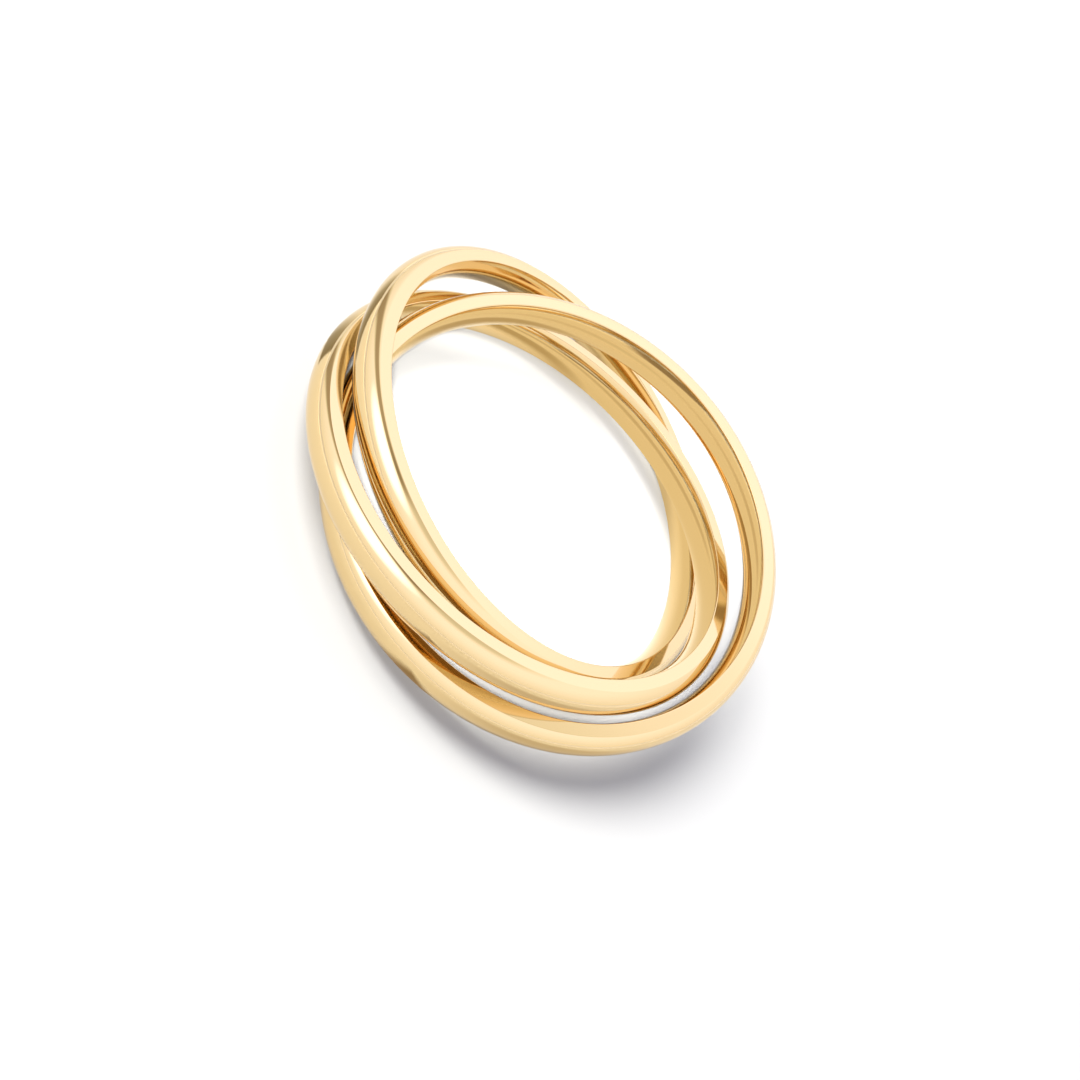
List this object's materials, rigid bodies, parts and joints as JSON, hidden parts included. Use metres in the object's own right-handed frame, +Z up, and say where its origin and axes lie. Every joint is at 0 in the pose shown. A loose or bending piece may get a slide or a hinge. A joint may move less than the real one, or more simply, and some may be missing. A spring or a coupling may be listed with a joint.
{
  "type": "fidget ring",
  "caption": "Rolling ring of equal interlinked bands with domed outsides, flat sides and softly curved insides, lying splayed on a table.",
  "frame": {"origin": "on the table, under the middle of the bounding box of the three bands as they lie", "axes": "+Z up from the table, +X along the longest extent of the splayed bands, +Y to the left of +X seen from above"},
  "size_m": [0.0222, 0.0204, 0.0058],
  "materials": {
    "polished_gold": "mirror polished"
  },
  "bodies": {
    "front": {"front_band": "polished_gold"},
    "left": {"left_band": "polished_gold"},
    "top": {"top_band": "polished_gold"}
  },
  "joints": [
    {"name": "left_roll", "type": "hinge", "parent": "front", "child": "left", "pos_m": [0.00043, -0.00046, 0.00229], "axis": [-0.156, -0.0599, 0.9859], "continuous": true},
    {"name": "top_roll", "type": "hinge", "parent": "front", "child": "top", "pos_m": [-0.00131, 0.00051, 0.00188], "axis": [-0.015, 0.1218, 0.9924], "continuous": true}
  ]
}
